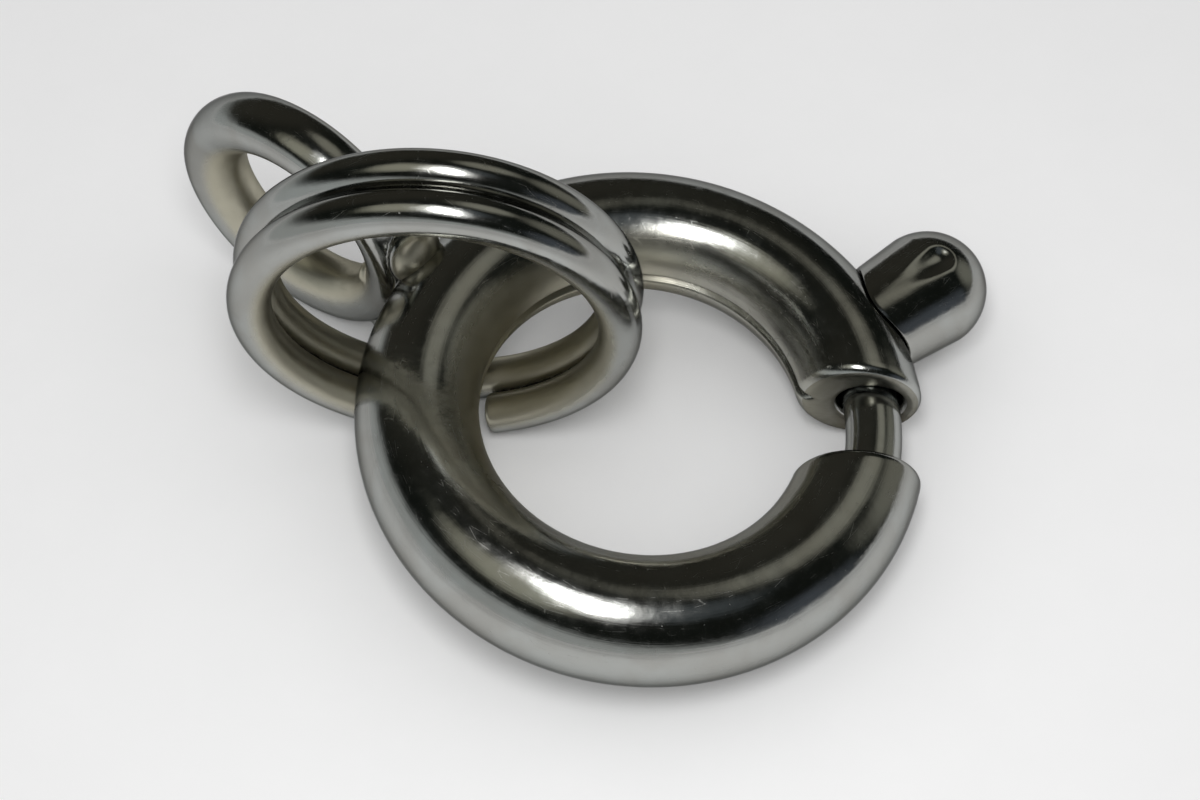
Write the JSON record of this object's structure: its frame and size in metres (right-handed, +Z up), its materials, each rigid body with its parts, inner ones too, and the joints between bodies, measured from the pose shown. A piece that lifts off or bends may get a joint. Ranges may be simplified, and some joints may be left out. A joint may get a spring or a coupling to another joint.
{
  "type": "spring ring clasp",
  "caption": "Spring ring clasp for a fine chain: round tube ring with a sprung tongue and ball-ended thumb lever, a soldered upright eye, and a two-turn split ring on the tube.",
  "frame": {"origin": "centre of the bounding box on the table, in the pose in which the clasp lies at rest", "axes": "+Z up from the table; +X from the ring's centre through the mouth; the ring lies tilted by about 7 degrees, raised at the eye"},
  "size_m": [0.0105, 0.007, 0.0049],
  "materials": {
    "plated_ring": "bright rhodium plating over brass, polished",
    "plated_eye": "bright rhodium plating over brass, polished",
    "plated_tongue": "bright drawn wire, lightly rubbed",
    "plated_trigger": "bright plating, polished",
    "spring_wire": "fine spring steel wire",
    "brass_plug": "unplated brass",
    "plated_split_ring": "bright plated round wire"
  },
  "bodies": {
    "clasp": {"ring_body": "plated_ring", "eye": "plated_eye", "spring_plug": "brass_plug", "return_spring": "spring_wire"},
    "bolt": {"tongue": "plated_tongue", "trigger": "plated_trigger"},
    "loose_ring": {"split_ring": "plated_split_ring"}
  },
  "joints": [
    {"name": "bolt_draw", "type": "hinge", "parent": "clasp", "child": "bolt", "pos_m": [0.00099, 0, 0.00111], "axis": [0.1156, -0.0597, 0.9915], "range_deg": [0, 27.9], "stiffness_Nm_per_rad": 0.0047, "springref_deg": -11.46, "deforming": ["return_spring"]},
    {"name": "split_ring_travel", "type": "hinge", "parent": "clasp", "child": "loose_ring", "pos_m": [0.00099, 0, 0.00111], "axis": [0.1156, -0.0597, 0.9915], "range_deg": [-5, 200]}
  ]
}
